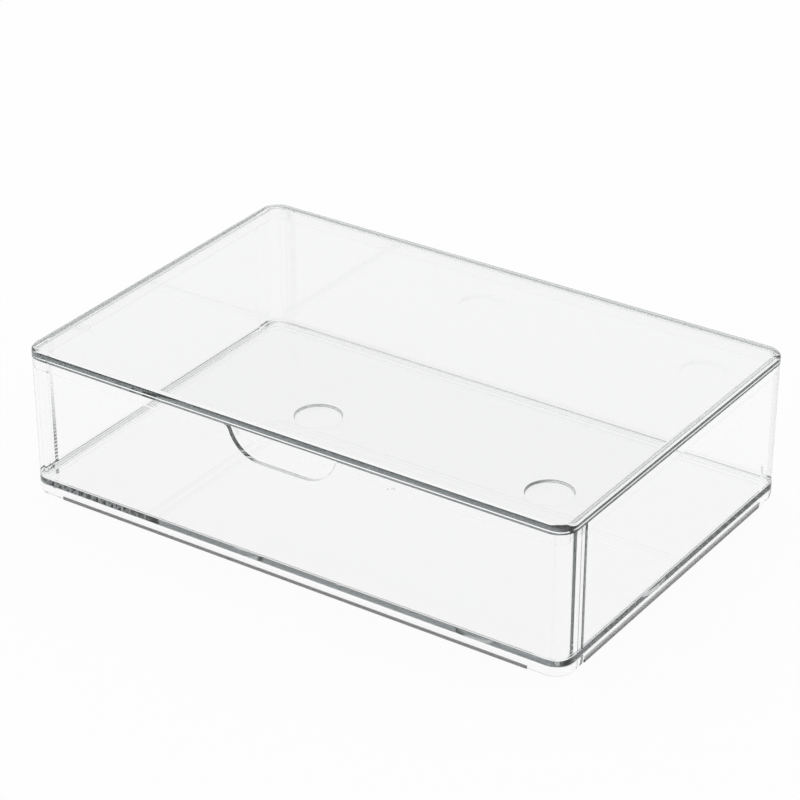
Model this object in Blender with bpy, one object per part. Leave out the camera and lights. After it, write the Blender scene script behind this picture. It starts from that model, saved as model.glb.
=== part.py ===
# Desktop storage box with a lift-off lid, both injection moulded in clear plastic.
# Metres, +Z up. The origin is the centre of the footprint, on the surface that the box stands on.
# X runs along the long sides, and the finger notch is in the front wall, which faces -Y.
import bmesh
import bpy
from math import asin, cos, degrees, radians, sin

# Overall sizes
LENGTH = 0.300          # along X, over the rim and the lid
DEPTH = 0.200           # along Y, over the rim and the lid
HEIGHT = 0.077          # from the table to the top of the lid
CORNER_R = 0.0098       # upright outer corners, seen from above

# Box walls and floor
WALL_T = 0.0024
INNER_R = 0.0057        # upright corners inside the box
RELIEF = 0.0007         # how much thinner the two end walls are near the corners
RELIEF_AT = 0.0166      # from the outside of the wall round the corner to where they thicken
RELIEF_RAMP = 0.0031    # length of the slope up to the full thickness
DRAFT = 0.0004          # how far each wall leans in from the rim down to the foot
RIM_R = 0.0004          # rounding along both edges of the rim
LOWER_EDGE_R = 0.0005   # rounding along the lower outside edge of the walls
FLOOR_T = 0.0024
FLOOR_RISE = 0.0046     # underside of the floor above the table
FLOOR_FILLET = 0.0050   # between the floor and the inside of the walls
UNDER_FILLET = 0.0008   # between the underside of the floor and the skirt

# Foot: a thin ring under the skirt, and a bar along each side that carries the box
FOOT_H = 0.0018
RING_INSET = 0.0005     # ring behind the outside of the skirt
RING_CLEAR = 0.0002     # ring above the table, so that only the bars touch it
BAR_W = 0.0040
BAR_INSET = 0.0001      # bar behind the outside of the skirt
BAR_END = 0.0190        # from a bar's end to the outside of the wall round the corner
BAR_SINK = 0.0004       # how far a bar runs up into the skirt

# Finger notch in the front wall
NOTCH_DROP = 0.0149     # from the rim down to its flat bottom
NOTCH_FLAT = 0.0240     # length of the flat bottom
NOTCH_R = 0.0180        # arc at each side
SHOULDER_R = 0.0035     # rounding where each arc runs out into the rim

# Two shallow round wells in the top of the floor, and the gate mark under it
WELL_D = 0.0240
WELL_SINK = 0.0010
WELL_PITCH = 0.1350     # between the two centres, along X
WELL_Y = 0.0230
GATE_D = 0.0050
GATE_SINK = 0.0005
GATE_Y = -0.0100

# Lid: a solid plate, with a locating rib that stands inside the walls
LID_T = 0.0042
LID_TOP_R = 0.00175     # rounding along the upper edge
LID_LOWER_R = 0.0003    # rounding along the lower edge
SEAT_GAP = 0.0003       # between the rim and the lid that rests on it
RIB_CLEAR = 0.0004      # between the rib and the inside of the walls
RIB_T = 0.0020
RIB_DROP = 0.0062       # below the plate
RIB_TIP_R = 0.0005
RIB_ROOT_R = 0.0010

# Smoothness of the rounded shapes
CORNER_STEPS = 10       # facets in an upright corner
EDGE_STEPS = 4          # facets in a rounded edge or a fillet
NOTCH_STEPS = 14        # facets in a side arc of the notch
ROUND_STEPS = 48        # facets round a well or the gate mark
MIN_R = 0.0003          # least corner radius of any section
CUT_OVER = 0.0030       # how far a cutter runs past what it cuts

SEAT_Z = HEIGHT - LID_T
RIM_Z = SEAT_Z - SEAT_GAP
FLOOR_TOP = FLOOR_RISE + FLOOR_T


def clear_scene():
    for ob in list(bpy.data.objects):
        bpy.data.objects.remove(ob, do_unlink=True)


def plastic(name, tint, roughness, ior):
    """Clear plastic that light passes through, with a faint tint."""
    mat = bpy.data.materials.new(name)
    mat.use_nodes = True
    shader = mat.node_tree.nodes["Principled BSDF"]
    shader.inputs["Base Color"].default_value = (*tint, 1.0)
    shader.inputs["Roughness"].default_value = roughness
    shader.inputs["Metallic"].default_value = 0.0
    shader.inputs["IOR"].default_value = ior
    shader.inputs["Transmission Weight"].default_value = 1.0
    mat.diffuse_color = (*tint, 1.0)
    return mat


def finish(name, bm, location, material=None):
    """Object from a bmesh. Without a material it is a helper that shapes another piece."""
    bmesh.ops.recalc_face_normals(bm, faces=bm.faces)
    mesh = bpy.data.meshes.new(name)
    bm.to_mesh(mesh)
    bm.free()
    mesh.shade_smooth()
    mesh.set_sharp_from_angle(angle=radians(30))
    ob = bpy.data.objects.new(name, mesh)
    ob.location = location
    bpy.context.collection.objects.link(ob)
    if material:
        mesh.materials.append(material)
    else:
        ob.hide_render = True
        ob.display_type = "WIRE"
    return ob


def combine(piece, helper, operation):
    """Join a helper solid to a piece, or cut it out of the piece."""
    mod = piece.modifiers.new(helper.name, "BOOLEAN")
    mod.operation = operation
    mod.solver = "EXACT"
    mod.object = helper


def lean(z):
    """Inset of the outside of the wall at height z, from the draft."""
    return DRAFT * (1.0 - z / RIM_Z)


def arc(centre, radius, start, end, steps=EDGE_STEPS):
    """Points on an arc round a centre in a plane, from angle start to angle end in degrees."""
    angles = [radians(start + (end - start) * k / steps) for k in range(steps + 1)]
    return [(centre[0] + radius * cos(a), centre[1] + radius * sin(a)) for a in angles]


def outside(points, relief=0.0):
    """Sections (inset, height, corner radius, relief) with corners parallel to the outer ones."""
    return [(inset, z, CORNER_R - inset, relief) for inset, z in points]


def inside(points, face, relief=0.0):
    """Sections whose corners are parallel to the inner corners, where face is INNER_R's inset."""
    return [(inset, z, INNER_R - (inset - face), relief) for inset, z in points]


def outline(inset, corner, relief, ramps):
    """Rounded rectangle, inset from LENGTH x DEPTH on every side, with its corner radius.

    Its relief moves the ends and corners of the short sides out. With ramps, each short side
    has the two points more at each end between which it comes back.
    """
    radius = max(corner, MIN_R)
    side = LENGTH / 2 - inset
    cx = side + relief - radius
    cy = DEPTH / 2 - inset - radius
    full_at = DEPTH / 2 - RELIEF_AT - RELIEF_RAMP
    points = []
    for quarter, (sx, sy) in enumerate(((1, 1), (-1, 1), (-1, -1), (1, -1))):
        turn = arc((sx * cx, sy * cy), radius, 90 * quarter, 90 * quarter + 90, CORNER_STEPS)
        ramp = [(sx * side, sy * full_at), (sx * (side + relief), sy * (full_at + RELIEF_RAMP))]
        if not ramps:
            points += turn
        elif sx == sy:
            points += ramp + turn
        else:
            points += turn + ramp[::-1]
    return points


def sweep(name, section, origin_z, material):
    """Closed solid made by carrying a wall section round the box.

    The section starts at the flat of the underside, runs down, out and over the top, and
    ends at the flat of the upper side. The two flats close the solid.
    """
    bm = bmesh.new()
    loops = []
    ramps = any(relief for _, _, _, relief in section)
    for inset, z, corner, relief in section:
        path = outline(inset, corner, relief, ramps)
        loops.append([bm.verts.new((x, y, z - origin_z)) for x, y in path])
    for lower, upper in zip(loops, loops[1:]):
        for k in range(len(lower)):
            bm.faces.new((lower[k - 1], lower[k], upper[k], upper[k - 1]))
    bm.faces.new(loops[0])
    bm.faces.new(loops[-1])
    return finish(name, bm, (0.0, 0.0, origin_z), material)


def block(name, size, centre):
    bm = bmesh.new()
    bmesh.ops.create_cube(bm, size=1.0)
    bmesh.ops.scale(bm, vec=size, verts=bm.verts)
    return finish(name, bm, centre)


def disc(name, diameter, low, high, x, y):
    """Upright round cutter from height low to height high."""
    bm = bmesh.new()
    bmesh.ops.create_cone(bm, cap_ends=True, segments=ROUND_STEPS, radius1=diameter / 2,
                          radius2=diameter / 2, depth=high - low)
    return finish(name, bm, (x, y, (low + high) / 2))


def box_section():
    """Section of the box: under the floor, down the skirt, round the foot, up and in again."""
    inner = DRAFT + WALL_T
    ring = lean(0.0) + RING_INSET
    low, edge, rim, fillet = lean(FOOT_H), LOWER_EDGE_R, RIM_R, FLOOR_FILLET
    skirt = arc((inner + UNDER_FILLET, FLOOR_RISE - UNDER_FILLET), UNDER_FILLET, 90, 180)
    skirt += [(inner, RING_CLEAR)]
    outer = [(ring, RING_CLEAR), (ring, FOOT_H)]
    outer += arc((low + edge, FOOT_H + edge), edge, 270, 180)
    outer += arc((rim, RIM_Z - rim), rim, 180, 90)
    upper = arc((WALL_T - rim, RIM_Z - rim), rim, 90, 0)
    lower = arc((inner + fillet, FLOOR_TOP + fillet), fillet, 180, 270)
    # The relief runs out in the fillet, so that the floor keeps straight sides
    floor = [(inset, z, corner, relief * (inner + fillet - inset) / fillet)
             for inset, z, corner, relief in inside(lower, inner, RELIEF)]
    return outside(skirt, RELIEF) + outside(outer) + inside(upper, WALL_T, RELIEF) + floor


def lid_section():
    """Section of the lid: under the plate, round the rib, out to the edge and over the top."""
    out = WALL_T + RIB_CLEAR
    inner = out + RIB_T
    tip = SEAT_Z - RIB_DROP
    root, nose = RIB_ROOT_R, RIB_TIP_R
    rib = arc((inner + root, SEAT_Z - root), root, 90, 180)
    rib += arc((inner - nose, tip + nose), nose, 0, -90)
    rib += arc((out + nose, tip + nose), nose, -90, -180)
    rib += [(out, SEAT_Z)]
    plate = arc((LID_LOWER_R, SEAT_Z + LID_LOWER_R), LID_LOWER_R, 270, 180)
    plate += arc((LID_TOP_R, HEIGHT - LID_TOP_R), LID_TOP_R, 180, 90)
    return inside(rib, WALL_T) + outside(plate)


def notch_cutter():
    """Finger notch: a flat bottom, an arc at each side and a rounded shoulder at the rim."""
    side = (NOTCH_FLAT / 2, RIM_Z - NOTCH_DROP + NOTCH_R)
    shoulder_z = RIM_Z - SHOULDER_R
    # The shoulder touches the rim and the side arc, which sets the slope between their centres
    reach = NOTCH_R + SHOULDER_R
    slope = -degrees(asin((side[1] - shoulder_z) / reach))
    shoulder = (side[0] + reach * cos(radians(slope)), shoulder_z)
    half = [(shoulder[0], RIM_Z + CUT_OVER)]
    half += arc(shoulder, SHOULDER_R, 90, 180 + slope)
    half += arc(side, NOTCH_R, slope, -90, NOTCH_STEPS)[1:]
    points = half + [(-x, z) for x, z in reversed(half)]
    front = -DEPTH / 2 - CUT_OVER
    through = DRAFT + WALL_T + 2 * CUT_OVER
    bm = bmesh.new()
    face = bm.faces.new([bm.verts.new((x, front, z)) for x, z in points])
    pulled = bmesh.ops.extrude_face_region(bm, geom=[face])
    moved = [v for v in pulled["geom"] if isinstance(v, bmesh.types.BMVert)]
    bmesh.ops.translate(bm, vec=(0.0, through, 0.0), verts=moved)
    return finish("notch_cutter", bm, (0.0, 0.0, 0.0))


def foot_bars():
    """Bar under each side, flush with the wall and ending short of the corners."""
    inset = lean(0.0) + BAR_INSET
    tall = FOOT_H + BAR_SINK
    bars = []
    for side in (-1, 1):
        y = side * (DEPTH / 2 - inset - BAR_W / 2)
        bars.append(((LENGTH - 2 * BAR_END, BAR_W, tall), (0.0, y, tall / 2)))
        x = side * (LENGTH / 2 - inset - BAR_W / 2)
        bars.append(((BAR_W, DEPTH - 2 * BAR_END, tall), (x, 0.0, tall / 2)))
    return [block("foot_bar_%d" % k, *bar) for k, bar in enumerate(bars)]


def build_box():
    """Open box with its raised floor, foot, finger notch and wells."""
    clear = plastic("clear_box_plastic", (0.93, 0.95, 0.95), 0.03, 1.57)
    box = sweep("storage_box", box_section(), 0.0, clear)
    for bar in foot_bars():
        combine(box, bar, "UNION")
    combine(box, notch_cutter(), "DIFFERENCE")
    for side in (-1, 1):
        well = disc("well_cutter_%d" % (side + 1), WELL_D, FLOOR_TOP - WELL_SINK,
                    FLOOR_TOP + CUT_OVER, side * WELL_PITCH / 2, WELL_Y)
        combine(box, well, "DIFFERENCE")
    gate = disc("gate_cutter", GATE_D, FLOOR_RISE - CUT_OVER, FLOOR_RISE + GATE_SINK, 0.0, GATE_Y)
    combine(box, gate, "DIFFERENCE")


def build_lid():
    """Lid, carried by an empty at the height of its seat, along whose Z it lifts off."""
    clear = plastic("clear_lid_plastic", (0.95, 0.96, 0.96), 0.02, 1.57)
    lift = bpy.data.objects.new("lid_lift", None)
    lift.location = (0.0, 0.0, SEAT_Z)
    bpy.context.collection.objects.link(lift)
    lid = sweep("lid", lid_section(), SEAT_Z, clear)
    lid.location = (0.0, 0.0, 0.0)
    lid.parent = lift


clear_scene()
build_box()
build_lid()
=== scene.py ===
from math import radians

import bpy
import numpy as np
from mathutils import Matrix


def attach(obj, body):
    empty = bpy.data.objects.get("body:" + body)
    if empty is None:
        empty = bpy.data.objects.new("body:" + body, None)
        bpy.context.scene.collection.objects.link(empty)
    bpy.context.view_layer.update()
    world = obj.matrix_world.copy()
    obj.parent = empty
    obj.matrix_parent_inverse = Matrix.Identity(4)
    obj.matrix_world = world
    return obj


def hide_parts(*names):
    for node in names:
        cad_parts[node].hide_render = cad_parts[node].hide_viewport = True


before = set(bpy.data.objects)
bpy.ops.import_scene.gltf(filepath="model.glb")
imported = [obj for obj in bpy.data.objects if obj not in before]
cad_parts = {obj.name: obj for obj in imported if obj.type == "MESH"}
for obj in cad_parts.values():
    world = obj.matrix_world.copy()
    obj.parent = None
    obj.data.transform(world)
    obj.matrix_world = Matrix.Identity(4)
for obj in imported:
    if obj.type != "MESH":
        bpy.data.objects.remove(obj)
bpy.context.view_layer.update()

# The box: one injection moulding in crystal polystyrene, with a draft so that it leaves its mould.
# Four walls stand round a raised floor and go on below it as a skirt to a thin foot ring. The end
# walls are relieved inside near the corners, and the front wall dips to the finger notch.
LENGTH, DEPTH, HEIGHT = 0.300, 0.200, 0.077
CORNER_R, INNER_R = 0.0098, 0.0057
WALL_T, DRAFT = 0.0024, 0.0004
LID_T, SEAT_GAP = 0.0042, 0.0001
FLOOR_RISE, FLOOR_TOP = 0.0046, 0.0070
FLOOR_FILLET, UNDER_FILLET = 0.0025, 0.0008
FOOT_H, RING_INSET, RING_CLEAR = 0.0018, 0.0005, 0.0002
RIM_OUT_R, RIM_IN_R = 0.0001, 0.0002
SEAT_Z = HEIGHT - LID_T
RIM_Z = SEAT_Z - SEAT_GAP


def arc(centre, radius, start, end, steps):
    """Points on a circle round a centre, from angle start to angle end in degrees."""
    a = np.radians(np.linspace(start, end, steps + 1))
    return np.stack([centre[0] + radius * np.cos(a), centre[1] + radius * np.sin(a)], 1)


def section(points, radius_at, face):
    """Wall section with its corner radii: (inset, height, corner radius) at each point.

    The corners are parallel, so the radius falls by as much as the inset passes the face's.
    """
    points = np.atleast_2d(points)
    return np.column_stack([points, radius_at - (points[:, 0] - face)])


# Section of the wall, from the underside of the floor out round the foot ring, up the outside,
# over the rim and down to the fillet of the floor
inner = DRAFT + WALL_T
ring_face = DRAFT + RING_INSET
under_fillet = arc((inner + UNDER_FILLET, FLOOR_RISE - UNDER_FILLET), UNDER_FILLET, 90, 180, 8)
under = np.vstack([under_fillet,
                   [(inner, RING_CLEAR), (ring_face, RING_CLEAR), (ring_face, FOOT_H)],
                   arc((ring_face, FOOT_H + RING_INSET), RING_INSET, 270, 180, 6)])
rim_out = arc((RIM_OUT_R, RIM_Z - RIM_OUT_R), RIM_OUT_R, 180, 90, 4)
rim_in = arc((WALL_T - RIM_IN_R, RIM_Z - RIM_IN_R), RIM_IN_R, 90, 0, 6)
fillet = arc((inner + FLOOR_FILLET, FLOOR_TOP + FLOOR_FILLET), FLOOR_FILLET, 180, 270, 14)
profile = np.vstack([section(under, CORNER_R, 0), section(rim_out, CORNER_R, 0),
                     section(rim_in, INNER_R, WALL_T), section(fillet, INNER_R, inner)])

# Finger notch in the rim: half of its outline, from the middle of the flat bottom out along the
# side arc and over the shoulder to the level rim
NOTCH_DROP, NOTCH_FLAT, NOTCH_R, SHOULDER_R = 0.0149, 0.0240, 0.0180, 0.0035
arc_centre = np.array([NOTCH_FLAT / 2, RIM_Z - NOTCH_DROP + NOTCH_R])
reach, shoulder_z = NOTCH_R + SHOULDER_R, RIM_Z - SHOULDER_R
slope = -np.degrees(np.arcsin((arc_centre[1] - shoulder_z) / reach))
shoulder_centre = (arc_centre[0] + reach * np.cos(np.radians(slope)), shoulder_z)
half_notch = np.vstack([arc(arc_centre, NOTCH_R, -90, slope, 24)[:-1],
                        arc(shoulder_centre, SHOULDER_R, 180 + slope, 90, 10)])
notch_x = np.concatenate([-half_notch[::-1, 0], half_notch[:, 0]])
notch_drop = RIM_Z - np.concatenate([half_notch[::-1, 1], half_notch[:, 1]])
row = np.arange(len(profile))
outside_end = len(under) + len(rim_out)
rim_rows = (row >= len(under)) & (row < outside_end + len(rim_in))
notch = notch_x, notch_drop, rim_rows, DRAFT / RIM_Z

# Relief of the end walls: distance from the front or back, and how much thinner the wall is. Its
# bends draw the dark upright lines near the corners. A point lies close to each side of a bend,
# so that smooth shading leaves the slopes flat. The relief takes in the inside of the skirt, and
# fades over the fillets of the floor.
BEND_HALF = 0.00003
bends = np.array([(0.0132, 0.00084), (0.0137, 0.00070), (0.0162, 0.00070), (0.0170, 0.00058),
                  (0.0187, 0)])
stations = (bends[:, :1] + (-BEND_HALF, BEND_HALF)).ravel()
ramp = stations, np.interp(stations, *bends.T)
inside = (row <= len(under_fillet)) | (row >= outside_end)
relief = inside * np.clip((inner + FLOOR_FILLET - profile[:, 0]) / FLOOR_FILLET, 0, 1)


def carry_round(profile, length, depth, corner_steps, relief=0.0, ramp=((), (0.0,)), notch=None):
    """Points of a section carried round a rounded rectangle, as an array (section, path, 3).

    Each section point has its own rectangle: half the length and depth less its inset, with
    corner arcs of its own radius. The path runs anticlockwise from the right side. The ramp
    (stations along the end walls, from the front or back of the rectangle, and how far out
    the section lies there) is scaled by each point's relief, and its first value also moves
    the corners. A notch (stops along the front, drops, points that dip, lean of the wall)
    lowers those points by the drop at each stop, and moves them in by the drop times the lean.
    """
    inset, height, radius = profile.T[:, :, None]
    stations, out = (np.asarray(v) for v in ramp)
    out = out * np.reshape(relief, (-1, 1)) + np.zeros_like(inset)
    turn = np.radians(np.linspace(0, 90, corner_steps + 1))
    none = np.zeros((len(profile), 0))
    points = []
    for quarter, (c, s) in enumerate(((1, 0), (0, 1), (-1, 0), (0, -1))):
        end_wall = quarter % 2 == 0
        half, other = (depth / 2, length / 2) if end_wall else (length / 2, depth / 2)
        along, moved, fall = none, none, none
        if end_wall and len(stations):
            along = np.concatenate([stations - half, half - stations[::-1]])
            moved = np.hstack([out, out[:, ::-1]])
            fall = np.zeros_like(moved)
        elif quarter == 3 and notch:
            along, drops, dips, lean = notch
            fall = np.outer(dips, drops)
            moved = -lean * fall
        ahead, aside = (0, out[:, :1]) if end_wall else (out[:, :1], 0)
        along = np.hstack([np.broadcast_to(along, moved.shape),
                           half - inset - radius + ahead + radius * np.sin(turn)])
        across = np.hstack([other - inset + moved,
                            other - inset - radius + aside + radius * np.cos(turn)])
        level = np.hstack([height - fall, height + 0 * turn])
        points.append(np.stack([c * across - s * along, s * across + c * along, level], 2))
    return np.concatenate(points, 1)


def solid(name, grid):
    """Closed mesh object from a grid of points (rows, round, 3).

    Quads join each row to the next and each point to its neighbour round the path, whose ends
    meet. One flat face closes the first row and one the last.
    """
    rows, count = grid.shape[:2]
    index = np.arange(rows * count).reshape(rows, count)
    ahead = np.roll(index, -1, 1)
    quads = np.stack([index[:-1], ahead[:-1], ahead[1:], index[1:]], 2).reshape(-1, 4)
    faces = quads.tolist() + [index[0, ::-1].tolist(), index[-1].tolist()]
    mesh = bpy.data.meshes.new(name)
    mesh.from_pydata(grid.reshape(-1, 3), [], faces)
    piece = bpy.data.objects.new(name, mesh)
    bpy.context.scene.collection.objects.link(piece)
    return piece


box = solid("box_moulding", carry_round(profile, LENGTH, DEPTH, 48, relief, ramp, notch))

# Two shallow round wells in the top of the floor, with a rounded lip, and the gate mark under it.
# Their cutters reach past the floor by the cut's overlap.
WELL_R, WELL_SINK, WELL_FOOT_R = 0.0120, 0.0012, 0.0003
WELL_LIP_R, WELL_LIP_OUT = 0.0006, 0.0005
WELL_PITCH, WELL_Y = 0.1350, 0.0230
GATE_R, GATE_TOP_R, GATE_SINK, GATE_Y = 0.0025, 0.0018, 0.0005, -0.0100
OVERLAP = 0.0020


def lathe(name, profile, x, y, steps=96):
    """Round solid: a profile (radius, height) turned about the upright line through x, y."""
    a = np.linspace(0, 2 * np.pi, steps, endpoint=False)
    radius, height = np.asarray(profile).T[:, :, None]
    ring = np.stack(np.broadcast_arrays(x + radius * np.cos(a), y + radius * np.sin(a), height), 2)
    return solid(name, ring)


well_floor = FLOOR_TOP - WELL_SINK
well_foot = arc((WELL_R - WELL_FOOT_R, well_floor + WELL_FOOT_R), WELL_FOOT_R, 270, 360, 5)
well_lip = arc((WELL_R + WELL_LIP_R, FLOOR_TOP - WELL_LIP_R), WELL_LIP_R, 180, 100, 8)
well = np.vstack([well_foot, well_lip, [(WELL_R + WELL_LIP_OUT, FLOOR_TOP + OVERLAP)]])
gate = [(GATE_R, FLOOR_RISE - OVERLAP), (GATE_R, FLOOR_RISE), (GATE_TOP_R, FLOOR_RISE + GATE_SINK)]
cutters = [lathe("well", well, x, WELL_Y) for x in (-WELL_PITCH / 2, WELL_PITCH / 2)]
cutters.append(lathe("gate_mark", gate, 0.0, GATE_Y))

# Pockets in the foot ring for the dark strips of painted shade under the front and the right end
SIDES = {"front": (0, -1), "right": (1, 0)}
STRIP_W, STRIP_END, END_STRIP_H = 0.0012, 0.0190, 0.0032
STRIP_R, STRIP_CHAMFER, STRIP_INSET, POCKET_CLEAR = 0.0004, 0.0002, 0.0001, 0.00005


def painted_shade_strip(name, side, grow=0.0):
    """Straight bar along one side of the foot: its section carried round, then moved there.

    Grown by a clearance it is the cutter of its own pocket, and starts ten clearances lower.
    """
    x, y = SIDES[side]
    length = (DEPTH if x else LENGTH) - 2 * STRIP_END
    top = (END_STRIP_H if x else FOOT_H) + grow
    bar = [(STRIP_CHAMFER - grow, -10 * grow), (-grow, STRIP_CHAMFER), (-grow, top)]
    grid = carry_round(section(bar, STRIP_R, 0), STRIP_W if x else length,
                       length if x else STRIP_W, 4)
    margin = DRAFT + STRIP_INSET + STRIP_W / 2
    return solid(name, grid + (x * (LENGTH / 2 - margin), y * (DEPTH / 2 - margin), 0))


def cut(piece, cutters):
    """Cuts helper solids out of a piece, keeps the result as its mesh and deletes them."""
    for cutter in cutters:
        mod = piece.modifiers.new(cutter.name, "BOOLEAN")
        mod.operation, mod.solver, mod.object = "DIFFERENCE", "EXACT", cutter
    bpy.context.view_layer.update()
    carved = piece.evaluated_get(bpy.context.evaluated_depsgraph_get())
    mesh = bpy.data.meshes.new_from_object(carved)
    piece.modifiers.clear()
    piece.data = mesh
    for cutter in cutters:
        bpy.data.objects.remove(cutter)


cut(box, cutters + [painted_shade_strip("pocket_" + side, side, POCKET_CLEAR) for side in SIDES])


def linear(code):
    """sRGB hex colour as the linear colour that a shader takes."""
    c = np.array([int(code[k:k + 2], 16) for k in (1, 3, 5)]) / 255
    return (*np.where(c <= 0.04045, c / 12.92, ((c + 0.055) / 1.055) ** 2.4), 1.0)


def add_node(tree, kind, settings=(), links=()):
    """Adds one node: settings are its inputs or properties, links its inputs' sources.

    An input goes by its name, or by its number where two have the same name.
    """
    node = tree.nodes.new(kind)
    for key, value in dict(settings).items():
        if isinstance(key, int) or key in node.inputs:
            node.inputs[key].default_value = value
        else:
            setattr(node, key, value)
    for key, source in dict(links).items():
        tree.links.new(source, node.inputs[key])
    return node


# Crystal polystyrene, injection moulded in a polished tool: as clear as glass, with a refractive
# index of 1.59. Light that it guides along the floor or the lid turns grey, so edges look dark,
# and short paths stay clear. The melt's flow leaves a trace of haze in patches of 18 mm, which
# is a noise scale of 55 to the metre.
def moulded_plastic(name, ior, haze, grey, density):
    """Clear plastic with patchy haze, and grey in proportion to the light's path through it."""
    material = bpy.data.materials.new(name)
    material.use_nodes = True
    tree = material.node_tree
    tree.nodes.clear()
    place = add_node(tree, "ShaderNodeTexCoord")
    bloom = add_node(tree, "ShaderNodeTexNoise", {"Scale": 55.0, "Detail": 3.0},
                     {"Vector": place.outputs["Object"]})
    rough = add_node(tree, "ShaderNodeMapRange",
                     {"From Min": 0.45, "From Max": 0.8, "To Min": 0.0, "To Max": haze},
                     {"Value": bloom.outputs[0]})
    shader = add_node(tree, "ShaderNodeBsdfPrincipled",
                      {"Base Color": linear("#ffffff"), "IOR": ior, "Transmission Weight": 1.0},
                      {"Roughness": rough.outputs[0]})
    depth = add_node(tree, "ShaderNodeVolumeAbsorption",
                     {"Color": linear(grey), "Density": density})
    add_node(tree, "ShaderNodeOutputMaterial", {},
             {"Surface": shader.outputs[0], "Volume": depth.outputs[0]})
    return material


def polish(piece, material):
    """Smooth shading that keeps flat faces flat, and edges sharp that turn over 28 degrees."""
    piece.data.shade_smooth()
    piece.data.set_sharp_from_angle(angle=radians(28))
    mod = piece.modifiers.new("flat_faces", "WEIGHTED_NORMAL")
    mod.mode, mod.weight, mod.keep_sharp = "FACE_AREA", 100, True
    piece.data.materials.clear()
    piece.data.materials.append(material)


POLYSTYRENE = {"ior": 1.59, "haze": 0.004, "grey": "#c6cacb", "density": 15.0}
polish(box, moulded_plastic("crystal_polystyrene_box", **POLYSTYRENE))
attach(box, "box")
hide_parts("storage_box")

# Painted shade: two straight dark bars, 1.2 mm thick, set into the pockets of the foot ring, stand
# in for the shade that lies along the foot under the front and the right end. They end short of
# the corners, and the one under the right end is taller.

# Painted shade: a smoke grey, translucent plastic whose absorption takes most of the light in a
# strip's own thickness, so that it draws a dark line of shade along the foot
shade_strip_material = moulded_plastic("painted_shade_grey", ior=1.50, haze=0.004, grey="#808080",
                            density=1330.0)
for side in SIDES:
    strip = painted_shade_strip("painted_shade_strip_" + side, side)
    polish(strip, shade_strip_material)
    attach(strip, "box")

# The lid: one flat plate of the same plastic, 4.2 mm thick, with a rounded upper edge. A thin rib
# moulded under it stands inside the walls and keeps it in place, and the plate rests on the rim.
RIB_CLEAR, RIB_T, RIB_DROP = 0.0004, 0.0013, 0.0062
RIB_ROOT_R, RIB_TIP_R = 0.0009, 0.0005
LID_LOWER_R, LID_TOP_R = 0.0001, 0.00175
rib_out = WALL_T + RIB_CLEAR
rib_in, tip = rib_out + RIB_T, SEAT_Z - RIB_DROP
rib = np.vstack([arc((rib_in + RIB_ROOT_R, SEAT_Z - RIB_ROOT_R), RIB_ROOT_R, 90, 180, 10),
                 arc((rib_in - RIB_TIP_R, tip + RIB_TIP_R), RIB_TIP_R, 0, -90, 6),
                 arc((rib_out + RIB_TIP_R, tip + RIB_TIP_R), RIB_TIP_R, -90, -180, 6),
                 [(rib_out, SEAT_Z)]])
plate = np.vstack([arc((LID_LOWER_R, SEAT_Z + LID_LOWER_R), LID_LOWER_R, 270, 180, 4),
                   arc((LID_TOP_R, HEIGHT - LID_TOP_R), LID_TOP_R, 180, 90, 12)])
profile = np.vstack([section(rib, INNER_R, WALL_T), section(plate, CORNER_R, 0)])
lid = solid("lid_moulding", carry_round(profile, LENGTH, DEPTH, 24))
polish(lid, moulded_plastic("crystal_polystyrene_lid", **POLYSTYRENE))
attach(lid, "lid")
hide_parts("lid")

# White table under matt paper: seen directly, in a reflection or through the plastic it is plain
# white, with a trace of the soft shadow that the box leaves on it
TABLE_HALF, TABLE_T, TABLE_TOP, WHITE_SHARE = 8.0, 0.010, -0.0001, 0.94
corners = TABLE_HALF * np.array([(-1, -1), (1, -1), (1, 1), (-1, 1)])
table = solid("white_table", np.stack([np.column_stack([corners, np.full(4, z)])
                                       for z in (TABLE_TOP - TABLE_T, TABLE_TOP)]))
paper = bpy.data.materials.new("white_paper_sweep")
paper.use_nodes = True
tree = paper.node_tree
tree.nodes.clear()
matt = add_node(tree, "ShaderNodeBsdfDiffuse", {"Color": linear("#f4f4f4")})
lit = add_node(tree, "ShaderNodeEmission", {"Color": linear("#ffffff"), "Strength": 1.0})
path = add_node(tree, "ShaderNodeLightPath")
seen = add_node(tree, "ShaderNodeMath", {"operation": "MAXIMUM"},
                {0: path.outputs["Is Camera Ray"], 1: path.outputs["Is Glossy Ray"]})
through = add_node(tree, "ShaderNodeMath", {"operation": "MAXIMUM"},
                   {0: seen.outputs[0], 1: path.outputs["Is Transmission Ray"]})
share = add_node(tree, "ShaderNodeMath", {"operation": "MULTIPLY", 1: WHITE_SHARE},
                 {0: through.outputs[0]})
mix = add_node(tree, "ShaderNodeMixShader", {},
               {"Fac": share.outputs[0], 1: matt.outputs[0], 2: lit.outputs[0]})
add_node(tree, "ShaderNodeOutputMaterial", {}, {"Surface": mix.outputs[0]})
table.data.materials.append(paper)

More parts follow.
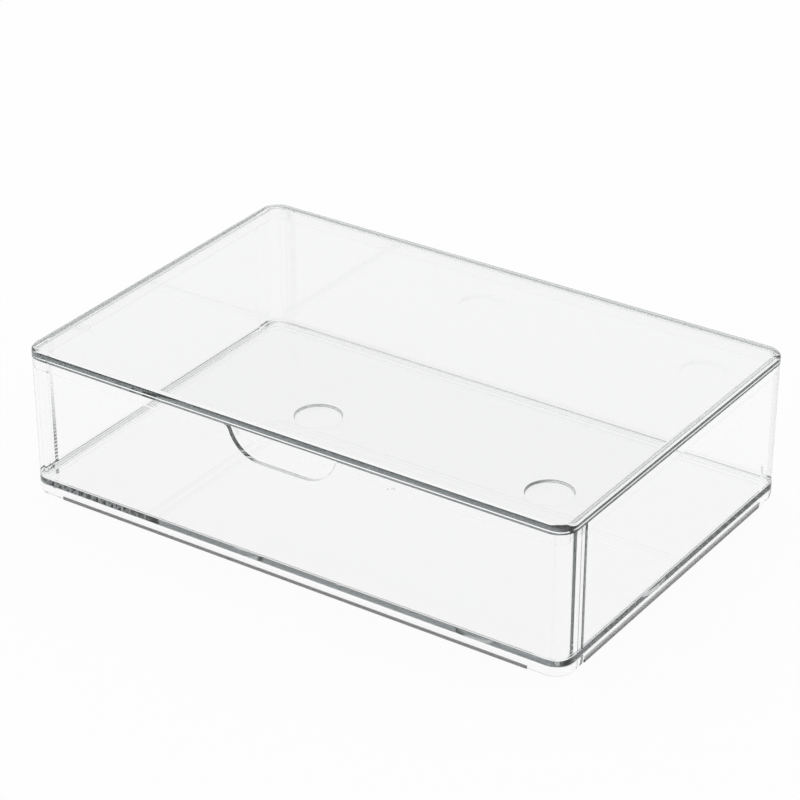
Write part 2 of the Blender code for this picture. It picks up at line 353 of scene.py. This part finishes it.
# Studio: a pale room, white near the horizon and a little darker overhead. The camera itself
# sees a white backdrop.
world = bpy.data.worlds.new("studio")
bpy.context.scene.world = world
world.use_nodes = True
tree = world.node_tree
tree.nodes.clear()
sky = add_node(tree, "ShaderNodeTexCoord")
height = add_node(tree, "ShaderNodeSeparateXYZ", {}, {"Vector": sky.outputs["Generated"]})
fade = add_node(tree, "ShaderNodeValToRGB", {}, {"Fac": height.outputs["Z"]})
horizon, overhead = fade.color_ramp.elements
horizon.position, horizon.color = 0.20, linear("#ffffff")
overhead.position, overhead.color = 0.60, linear("#eaeaea")
room = add_node(tree, "ShaderNodeBackground", {"Strength": 1.0}, {"Color": fade.outputs[0]})
backdrop = add_node(tree, "ShaderNodeBackground", {"Color": linear("#ffffff"), "Strength": 1.0})
path = add_node(tree, "ShaderNodeLightPath")
mix = add_node(tree, "ShaderNodeMixShader", {},
               {"Fac": path.outputs["Is Camera Ray"], 1: room.outputs[0], 2: backdrop.outputs[0]})
add_node(tree, "ShaderNodeOutputWorld", {}, {"Surface": mix.outputs[0]})

# Softbox over the left back of the box
lamp = bpy.data.lights.new("softbox", "AREA")
lamp.shape, lamp.size, lamp.size_y, lamp.energy = "RECTANGLE", 1.2, 0.8, 2.0
softbox = bpy.data.objects.new("softbox", lamp)
softbox.location = (-0.5, 0.3, 1.4)
softbox.rotation_euler = (radians(-12), radians(-20), 0)
bpy.context.scene.collection.objects.link(softbox)

# Camera where the photographer stood: to the right of the front, looking down on the box. Its
# lens, place and turn come from a fit to the photograph's edges.
camera = bpy.data.objects.new("camera", bpy.data.cameras.new("camera"))
camera.data.sensor_width, camera.data.lens = 36.0, 137.51
camera.location = (0.7122, -1.0582, 0.7422)
camera.rotation_euler = (radians(61.498), 0.0, radians(34.052))
bpy.context.scene.collection.objects.link(camera)
bpy.context.scene.camera = camera
bpy.context.scene.view_settings.view_transform = "Standard"

# Light that the plastic guides turns back many times before it gets out
cycles = bpy.context.scene.cycles
cycles.max_bounces = cycles.transmission_bounces = cycles.glossy_bounces = 64
